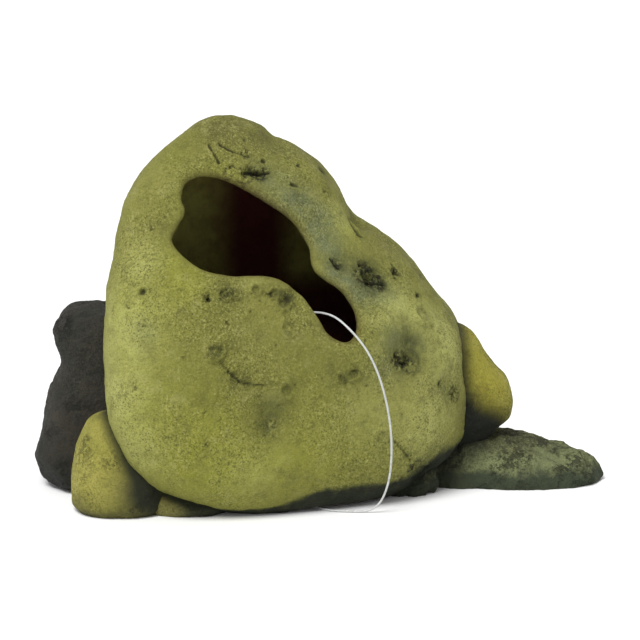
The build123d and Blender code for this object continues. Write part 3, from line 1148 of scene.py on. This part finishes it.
class Finish:
    """A material under construction: one Principled shader, and short ways to add nodes."""

    def __init__(self, name):
        self.material = bpy.data.materials.new(name)
        self.material.use_nodes = True
        self.tree = self.material.node_tree
        self.tree.nodes.clear()
        self.shader = self.tree.nodes.new("ShaderNodeBsdfPrincipled")
        output = self.tree.nodes.new("ShaderNodeOutputMaterial")
        self.tree.links.new(self.shader.outputs["BSDF"], output.inputs["Surface"])
        self.place = self.tree.nodes.new("ShaderNodeTexCoord").outputs["Object"]

    def put(self, value, socket):
        """Links an output to a socket, or sets the socket to a plain value."""
        if isinstance(value, bpy.types.NodeSocket):
            self.tree.links.new(value, socket)
        else:
            socket.default_value = value

    def node(self, kind, inputs):
        """New node of that kind, with an output or a plain value in each named input."""
        node = self.tree.nodes.new("ShaderNode" + kind)
        for label, value in inputs.items():
            self.put(value, node.inputs[label])
        return node

    def noise(self, size, detail, roughness, stretch=None):
        """Noise, about 0 to 1, whose blotches have that size in metres."""
        place = self.place
        if stretch:
            place = self.node("Mapping", {"Vector": place, "Scale": stretch}).outputs["Vector"]
        inputs = {"Vector": place, "Scale": 1 / size, "Detail": detail, "Roughness": roughness}
        return self.node("TexNoise", inputs).outputs["Fac"]

    def cells(self, size):
        """Distance to the nearest of scattered points, in shares of their spacing."""
        inputs = {"Vector": self.place, "Scale": 1 / size}
        return self.node("TexVoronoi", inputs).outputs["Distance"]

    def attribute(self, label):
        """Number that the mesh carries at each point."""
        layer = self.node("Attribute", {})
        layer.attribute_name = label
        return layer.outputs["Fac"]

    def coordinate(self, axis):
        """Place along the X, Y or Z axis, in metres."""
        return self.node("SeparateXYZ", {"Vector": self.place}).outputs[axis]

    def band(self, value, low, high, to_low=0.0, to_high=1.0):
        """Takes low to to_low and high to to_high, smoothly, and holds them beyond."""
        inputs = {"From Min": low, "From Max": high, "To Min": to_low, "To Max": to_high}
        ramp = self.node("MapRange", {"Value": value, **inputs})
        ramp.interpolation_type = "SMOOTHSTEP"
        return ramp.outputs["Result"]

    def maths(self, operation, first, second):
        """One value and another, added, multiplied or as the operation says."""
        result = self.node("Math", {0: first, 1: second})
        result.operation = operation
        return result.outputs["Value"]

    def times(self, first, second):
        """Product of two values."""
        return self.maths("MULTIPLY", first, second)

    def mixed(self, amount, under, over):
        """One paint over another, by amount."""
        mix = self.tree.nodes.new("ShaderNodeMix")
        mix.data_type = "RGBA"
        self.put(amount, mix.inputs["Factor"])
        for paint, socket in ((under, mix.inputs["A"]), (over, mix.inputs["B"])):
            plain = not isinstance(paint, bpy.types.NodeSocket)
            self.put((*paint, 1) if plain else paint, socket)
        return mix.outputs["Result"]

    def bumped(self, height, distance, strength, over=None):
        """Direction of a surface that such bumps raise by that distance, over others."""
        inputs = {"Strength": strength, "Distance": distance, "Height": height}
        if over is not None:
            inputs["Normal"] = over
        return self.node("Bump", inputs).outputs["Normal"]

    def colour(self, paint):
        """Gives the surface its colour."""
        self.put(paint, self.shader.inputs["Base Color"])


def cast_surface(finish, chips):
    """Surface of painted cast stone: lumps, chips, pores and grit as bumps, and an uneven
    matte."""
    grit = finish.noise(0.0012, 4, 0.75)
    pores = finish.band(finish.cells(0.0024), 0.05, 0.3)
    lumps = finish.noise(0.007, 5, 0.65)
    normal = finish.bumped(lumps, 0.0024, 0.7)
    normal = finish.bumped(chips, 0.0016, 1.0, normal)
    normal = finish.bumped(pores, 0.0003, 0.4, normal)
    finish.put(finish.bumped(grit, 0.0013, 1.0, normal), finish.shader.inputs["Normal"])
    finish.put(finish.band(lumps, 0.3, 0.75, 0.74, 0.92), finish.shader.inputs["Roughness"])
    finish.shader.inputs["Specular IOR Level"].default_value = 0.3


def speckled(finish, colour, dark, light):
    """Fine paint grain over a colour: dark pores, and pale grit that a dry brush caught,
    both rougher in some places than in others."""
    rough = finish.band(finish.noise(0.028, 3, 0.6), 0.4, 0.6, 0.45, 1.1)
    grain = finish.noise(0.0021, 5, 0.78)
    specks = finish.noise(0.0009, 3, 0.75)
    for texture, dark_share, light_share in ((grain, 0.55, 0.35), (specks, 0.8, 0.45)):
        pores = finish.times(rough, finish.band(texture, 0.34, 0.49, dark_share, 0.0))
        colour = finish.mixed(pores, colour, dark)
        caught = finish.times(rough, finish.band(texture, 0.54, 0.67, 0.0, light_share))
        colour = finish.mixed(caught, colour, light)
    return colour


def dry_brushed(finish, colour, light, amount):
    """Hair-like pale strokes that a nearly dry brush left: noise drawn out upwards, and
    broken up by a second noise so that a stroke starts and stops."""
    hairs = finish.noise(0.0017, 3, 0.6, stretch=(1.6, 1.6, 0.26))
    patches = finish.band(finish.noise(0.014, 3, 0.6), 0.5, 0.64)
    strokes = finish.times(finish.band(hairs, 0.6, 0.7, 0.0, amount), patches)
    return finish.mixed(strokes, colour, light)


def chipped(finish, colour, dark, places, strength):
    """Chips with sharp edges, rubbed with dark paint, where places is high: noise cut
    off at its middle. Gives the colour, and the chips as a height for a bump."""
    gaps = finish.band(finish.noise(0.0034, 4, 0.7), 0.49, 0.57)
    chips = finish.times(places, gaps)
    colour = finish.mixed(finish.times(chips, strength), colour, dark)
    return colour, finish.maths("SUBTRACT", 1.0, chips)


def inside_paint_and_light(finish, paints):
    """Paint inside the boulder: olive at both ends, partly overspray and partly painted light that
    comes in at the mouth and through the shell, and dark red brown between them, the resin's colour
    with the glow of light through it painted in.
    """
    left_end = finish.band(finish.coordinate("X"), -0.06, -0.037, 1.0, 0.0)
    right_end = finish.band(finish.coordinate("X"), -0.024, -0.006)
    above_lobe = finish.band(finish.coordinate("Z"), 0.084, 0.1)
    right_end = finish.times(right_end, above_lobe)
    ends = finish.maths("MAXIMUM", left_end, right_end)
    cloudy = finish.band(finish.noise(0.01, 4, 0.6), 0.3, 0.65, 0.6, 1.0)
    ends = finish.times(ends, cloudy)
    return finish.mixed(ends, paints.inside_red_and_glow, paints.inside_olive_and_light)


def boulder_finish(paints):
    """Olive paint over dark resin: yellower on the belly, greyer along the mouth's right
    edge, darker on top, paler on the ends with a painted highlight, and dark in pits, in
    hollows and along the foot, dark paint that also stands for the shade there."""
    finish = Finish("boulder_paint")
    broad = finish.band(finish.noise(0.035, 4, 0.6), 0.35, 0.65)
    body = finish.mixed(broad, paints.olive, paints.leaf)
    edges = finish.noise(0.008, 4, 0.6)
    for label, paint in (
        ("darkened", paints.darker_olive),
        ("yellowed", paints.yellow_green),
        # pale paint that also stands for the light the ends catch
        ("paled_and_lit", paints.pale_olive_highlight),
        ("greyed", paints.grey_green),
    ):
        broken = finish.band(edges, 0.3, 0.6, 0.55, 1.1)
        amount = finish.times(finish.attribute(label), broken)
        body = finish.mixed(amount, body, paint)
    mottle = finish.noise(0.009, 5, 0.65)
    body = finish.mixed(finish.band(mottle, 0.3, 0.5, 0.36, 0.0), body, paints.shade)
    body = finish.mixed(finish.band(mottle, 0.54, 0.7, 0.0, 0.25), body, paints.dry_brush)
    body = speckled(finish, body, paints.shade, paints.dry_brush)
    body = dry_brushed(finish, body, paints.dry_brush, 0.5)
    # dark paint pooled in hollows, dents and rings, which also stands for the shade there
    ragged = finish.band(finish.noise(0.006, 5, 0.7), 0.3, 0.6, 0.55, 1.15)
    pooled = finish.times(finish.attribute("pooled"), ragged)
    body = finish.mixed(pooled, body, paints.pooled_shade_green)
    worn = finish.band(finish.attribute("crumbled"), 0.1, 0.55)
    body, chips = chipped(finish, body, paints.pit, worn, 0.85)
    flakes = finish.band(finish.noise(0.0022, 3, 0.6), 0.56, 0.66, 0.0, 0.4)
    body = finish.mixed(finish.times(worn, flakes), body, paints.dry_brush)
    # dark paint in the pits and cuts, which also stands for the shade inside them
    pits = finish.band(finish.attribute("pits"), 0.05, 0.85, 0.0, 0.82)
    body = finish.mixed(pits, body, paints.pit)
    # dark paint along the foot and under the rim, which also stands for the shade under the belly
    wandering = finish.band(mottle, 0.3, 0.7, -0.2, 0.2)
    edge = finish.maths("ADD", finish.attribute("painted_foot_shade"), wandering)
    body = finish.mixed(finish.band(edge, 0.05, 1.0, 0.0, 0.98), body, paints.foot_shade_green)
    # inside: olive ends that are partly painted light, and a red brown middle with a painted glow
    body = finish.mixed(finish.attribute("inside"), body, inside_paint_and_light(finish, paints))
    finish.colour(body)
    cast_surface(finish, chips)
    return finish.material


def stone_finish(name, top, body, low, dark, light, foot_height):
    """Paint of a foot stone: its top and body paints run together in blotches, then painted
    shade along its foot, in the crevice by the boulder and under the boulder's belly, and
    dark paint in its pits, which also stands for the shade inside them."""
    finish = Finish(name)
    ragged = finish.times(finish.noise(0.016, 5, 0.65), 0.022)
    height = finish.maths("ADD", finish.coordinate("Z"), ragged)
    colour = finish.mixed(finish.band(finish.noise(0.02, 4, 0.6), 0.35, 0.65), body, top)
    mottle = finish.noise(0.01, 5, 0.65)
    colour = finish.mixed(finish.band(mottle, 0.32, 0.48, 0.3, 0.0), colour, dark)
    colour = finish.mixed(finish.band(mottle, 0.54, 0.68, 0.0, 0.3), colour, light)
    colour = speckled(finish, colour, dark, light)
    colour = dry_brushed(finish, colour, light, 0.35)
    colour, chips = chipped(finish, colour, dark, finish.attribute("crumbled"), 0.6)
    # painted shade along the foot
    foot = finish.band(height, foot_height * 0.35, foot_height + 0.011, 0.85, 0.0)
    colour = finish.mixed(foot, colour, low)
    # painted shade in the crevice and under the boulder's belly
    colour = finish.mixed(finish.band(finish.attribute("shaded"), 0.03, 0.8), colour, low)
    # dark paint in the pits, which also stands for the shade inside them
    colour = finish.mixed(finish.band(finish.attribute("pits"), 0.05, 0.9, 0.0, 0.8), colour, dark)
    finish.colour(colour)
    cast_surface(finish, chips)
    return finish.material


def slate_finish(name, top, ridge, foot):
    """Paint of the slab and the rubble: a dull top, a paler dry-brushed ridge at half
    height, and a dark blue-green foot, painted shade along the bottom, each ragged at its
    edges; then painted shade in the crevice by the boulder, and dark paint in the pits,
    which also stands for the shade inside them."""
    finish = Finish(name)
    ragged = finish.times(finish.noise(0.011, 5, 0.7), 0.016)
    height = finish.maths("ADD", finish.coordinate("Z"), ragged)
    colour = finish.mixed(finish.band(height, 0.021, 0.028), ridge, top)
    dark, light = SLATE_DARK, SLATE_LIGHT
    mottle = finish.noise(0.005, 5, 0.7)
    colour = finish.mixed(finish.band(mottle, 0.34, 0.5, 0.6, 0.0), colour, dark)
    colour = finish.mixed(finish.band(mottle, 0.55, 0.68, 0.0, 0.45), colour, light)
    colour = speckled(finish, colour, dark, light)
    craggy = finish.band(finish.noise(0.014, 4, 0.65), 0.44, 0.6)
    colour, chips = chipped(finish, colour, dark, craggy, 0.8)
    # painted shade along the foot
    colour = finish.mixed(finish.band(height, 0.0135, 0.019, 0.9, 0.0), colour, foot)
    # painted shade in the crevice by the boulder
    crevice = finish.band(finish.attribute("shaded"), 0.03, 0.8, 0.0, 0.9)
    colour = finish.mixed(crevice, colour, SLATE_CREVICE_SHADE)
    # dark paint in the pits, which also stands for the shade inside them
    colour = finish.mixed(finish.band(finish.attribute("pits"), 0.05, 0.9, 0.0, 0.85), colour, dark)
    finish.colour(colour)
    cast_surface(finish, chips)
    return finish.material


def nylon_finish(paints):
    """Clear nylon: cloudy, a little see-through, with faint draw marks."""
    finish = Finish("cloudy_nylon")
    sockets = finish.shader.inputs
    cloud = finish.noise(0.004, 3, 0.5)
    colour = finish.mixed(cloud, paints.nylon, paints.nylon_clear)
    finish.colour(colour)
    finish.put(finish.band(cloud, 0.3, 0.7, 0.22, 0.38), sockets["Roughness"])
    draw_marks = finish.noise(0.0008, 2, 0.5)
    finish.put(finish.bumped(draw_marks, 0.00004, 0.4), sockets["Normal"])
    sockets["Transmission Weight"].default_value = 0.3
    sockets["IOR"].default_value = 1.53
    return finish.material


# ---------------------------------------------------------------- settings


def colour_setting(name, description, display):
    """Colour property, its default given as display values from 0 to 255."""
    return bpy.props.FloatVectorProperty(
        name=name, description=description, default=painted(*display), subtype="COLOR", min=0, max=1
    )


def number_setting(name, description, default, **kind):
    """Number property. kind holds its unit or subtype."""
    return bpy.props.FloatProperty(name=name, description=description, default=default, **kind)


def length_setting(name, description, metres):
    """Number property for a length."""
    return number_setting(name, description, metres, unit="LENGTH")


def angle_setting(name, description, degrees):
    """Number property for an angle."""
    return number_setting(name, description, math.radians(degrees), subtype="ANGLE")


class CaveSizes(bpy.types.PropertyGroup):
    """Sizes that the pieces are built to."""

    wall: length_setting("Wall", "Resin thickness of the boulder", 0.0065)
    rim_gap: length_setting("Rim gap", "Height of the arch that the loop passes under", 0.0026)
    filament: length_setting("Filament", "Thickness of the nylon loop", 0.001)


class CavePaints(bpy.types.PropertyGroup):
    """Paints and nylon, as colours."""

    olive: colour_setting("Olive", "Main paint of the boulder", (136, 135, 64))
    leaf: colour_setting("Leaf", "Second main paint of the boulder", (128, 129, 55))
    yellow_green: colour_setting("Yellow-green", "Sprayed on the boulder's belly", (147, 149, 50))
    grey_green: colour_setting("Grey-green", "Sprayed along the mouth's right edge", (106, 117, 90))
    # pale paint that also stands for the light the boulder's ends catch
    pale_olive_highlight: colour_setting("Pale olive", "Sprayed on the boulder's ends", (182, 184, 104))
    # darker olive on the top and in patches on the front
    darker_olive: colour_setting("Brown olive", "Sprayed on the boulder's top", (102, 99, 48))
    dry_brush: colour_setting("Dry brush", "Caught on high spots", (192, 189, 118))
    shade: colour_setting("Shade", "Left between the high spots", (78, 80, 34))
    # pooled dark paint, which also stands for the shade in hollows and dents
    pooled_shade_green: colour_setting("Deep green", "Pooled in hollows", (40, 48, 30))
    # dark paint along the foot, which also stands for the shade under the belly
    foot_shade_green: colour_setting("Foot green", "Sprayed along the boulder's foot", (26, 32, 19))
    # dark paint in the pits, which also stands for the shade inside them, and in the chips
    pit: colour_setting("Pit", "In the pits", (34, 33, 14))
    # olive inside, partly painted light that comes in at the mouth and through the shell
    inside_olive_and_light: colour_setting("Inside olive", "Inside the boulder, at both ends", (146, 143, 70))
    # dark red inside, with the glow of light through the resin painted in
    inside_red_and_glow: colour_setting("Inside red", "Inside the boulder, at the back", (64, 17, 8))
    nylon: colour_setting("Nylon", "Nylon loop, cloudy", (204, 207, 204))
    nylon_clear: colour_setting("Clear nylon", "Nylon loop, clearer", (226, 228, 226))


class CaveStudio(bpy.types.PropertyGroup):
    """Camera and light."""

    distance: length_setting("Distance", "Camera to the ornament", 1.1)
    elevation: angle_setting("Elevation", "Angle of the camera above the floor", 13)
    aim_height: length_setting("Aim height", "Height the camera aims at", 0.082)
    lens: number_setting("Lens", "Focal length in millimetres", 131.65)
    sky: number_setting("Sky", "Strength of the light all round", 0.56)
    key: number_setting("Key light", "Strength of the soft light at the upper left", 2.9)
    softness: angle_setting("Softness", "How wide the key light looks from the ornament", 28)


# ---------------------------------------------------------------- operators


KEY_HEADING = (0.34, 0.5, -1)  # the way the key light shines
FLOOR_REACH = 8  # from the middle of the floor to its sides, in metres


class CAVE_OT_camera(bpy.types.Operator):
    """Camera a little above the ornament, with a long lens"""

    bl_idname = "cave.camera"
    bl_label = "Camera"

    def execute(self, context):
        studio = context.scene.cave_studio
        lens = bpy.data.cameras.new("camera")
        lens.sensor_width = 36
        lens.lens = studio.lens
        lens.clip_start = 0.01
        camera = bpy.data.objects.new("camera", lens)
        back = studio.distance * math.cos(studio.elevation)
        above = studio.distance * math.sin(studio.elevation)
        camera.location = (0, -back, studio.aim_height + above)
        camera.rotation_euler = (math.pi / 2 - studio.elevation, 0, 0)
        context.collection.objects.link(camera)
        context.scene.camera = camera
        return {"FINISHED"}


class CAVE_OT_nylon_loop(bpy.types.Operator):
    """Nylon loop through the mouth, and the small lock that joins its ends"""

    bl_idname = "cave.nylon_loop"
    bl_label = "Nylon loop"

    def execute(self, context):
        filament = context.scene.cave_sizes.filament
        curve = bpy.data.curves.new("tag_loop", "CURVE")
        curve.dimensions = "3D"
        spline = curve.splines.new("NURBS")
        spline.points.add(len(LOOP_ROUTE) - 1)
        spline.points.foreach_set("co", np.insert(np.array(LOOP_ROUTE), 3, 1, axis=1).ravel())
        spline.order_u = 3
        spline.use_endpoint_u = True
        spline.resolution_u = 12
        curve.bevel_depth = filament / 2
        curve.bevel_resolution = 3
        curve.use_fill_caps = True
        loop = bpy.data.objects.new("tag_loop", curve)
        context.collection.objects.link(loop)
        loop.data.materials.append(nylon_finish(context.scene.cave_paints))
        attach(loop, "root")
        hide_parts("nylon_loop")
        lock = build_lock()
        lock.data.materials.append(loop.data.materials[0])
        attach(lock, "root")
        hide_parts("loop_lock")
        return {"FINISHED"}


class CAVE_OT_boulder(bpy.types.Operator):
    """Hollow boulder with its mouth"""

    bl_idname = "cave.boulder"
    bl_label = "Boulder"

    def execute(self, context):
        boulder = build_boulder()
        boulder.data.materials.append(boulder_finish(context.scene.cave_paints))
        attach(boulder, "root")
        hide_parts("boulder_shell")
        return {"FINISHED"}


class CAVE_OT_foot_stones(bpy.types.Operator):
    """Six stones round the boulder's foot"""

    bl_idname = "cave.foot_stones"
    bl_label = "Foot stones"

    def execute(self, context):
        for stone in foot_stones():
            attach(stone["piece"], "root")
            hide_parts(stone["node"])
        return {"FINISHED"}


class CAVE_OT_stage(bpy.types.Operator):
    """Pale floor and soft studio light"""

    bl_idname = "cave.stage"
    bl_label = "Stage"

    def execute(self, context):
        studio = context.scene.cave_studio
        context.scene.view_settings.view_transform = "Standard"
        world = bpy.data.worlds.new("studio")
        world.use_nodes = True
        sky = world.node_tree.nodes["Background"]
        sky.inputs["Color"].default_value = (1, 1, 1, 1)
        sky.inputs["Strength"].default_value = studio.sky
        context.scene.world = world
        lamp = bpy.data.lights.new("key_light", "SUN")
        lamp.energy = studio.key
        lamp.angle = studio.softness
        light = bpy.data.objects.new("key_light", lamp)
        light.rotation_euler = Vector(KEY_HEADING).to_track_quat("-Z", "Y").to_euler()
        context.collection.objects.link(light)
        grid = np.linspace(-FLOOR_REACH, FLOOR_REACH, 5)
        x, y = np.meshgrid(grid, grid)
        floor = make_floor(np.stack([x, y, np.zeros_like(x)], -1))
        finish = Finish("pale_floor")
        tone = finish.noise(0.4, 3, 0.5)
        chalk = finish.mixed(tone, (0.93, 0.93, 0.93), (0.9, 0.9, 0.9))
        finish.colour(chalk)
        finish.shader.inputs["Roughness"].default_value = 0.9
        floor.data.materials.append(finish.material)
        return {"FINISHED"}


class CAVE_PT_panel(bpy.types.Panel):
    """Settings and operators in the 3D view's sidebar"""

    bl_label = "Cave ornament"
    bl_space_type = "VIEW_3D"
    bl_region_type = "UI"
    bl_category = "Cave Ornament"

    def draw(self, context):
        scene = context.scene
        for group in (scene.cave_sizes, scene.cave_paints, scene.cave_studio):
            box = self.layout.box()
            for label in group.__annotations__:
                box.prop(group, label)
        for operator in OPERATORS:
            self.layout.operator(operator.bl_idname)


GROUPS = {"cave_sizes": CaveSizes, "cave_paints": CavePaints, "cave_studio": CaveStudio}
OPERATORS = (
    CAVE_OT_camera,
    CAVE_OT_nylon_loop,
    CAVE_OT_boulder,
    CAVE_OT_foot_stones,
    CAVE_OT_stage,
)


def register():
    """Adds the settings, the operators and the panel."""
    for group in GROUPS.values():
        bpy.utils.register_class(group)
    for label, group in GROUPS.items():
        setattr(bpy.types.Scene, label, bpy.props.PointerProperty(type=group))
    for item in (*OPERATORS, CAVE_PT_panel):
        bpy.utils.register_class(item)


def unregister():
    """Takes them away again."""
    for item in (*OPERATORS, CAVE_PT_panel):
        bpy.utils.unregister_class(item)
    for label in GROUPS:
        delattr(bpy.types.Scene, label)
    for group in GROUPS.values():
        bpy.utils.unregister_class(group)


def main():
    """Builds the ornament."""
    register()
    bpy.ops.cave.camera()
    bpy.ops.cave.nylon_loop()
    bpy.ops.cave.boulder()
    bpy.ops.cave.foot_stones()
    bpy.ops.cave.stage()


if __name__ == "__main__":
    main()
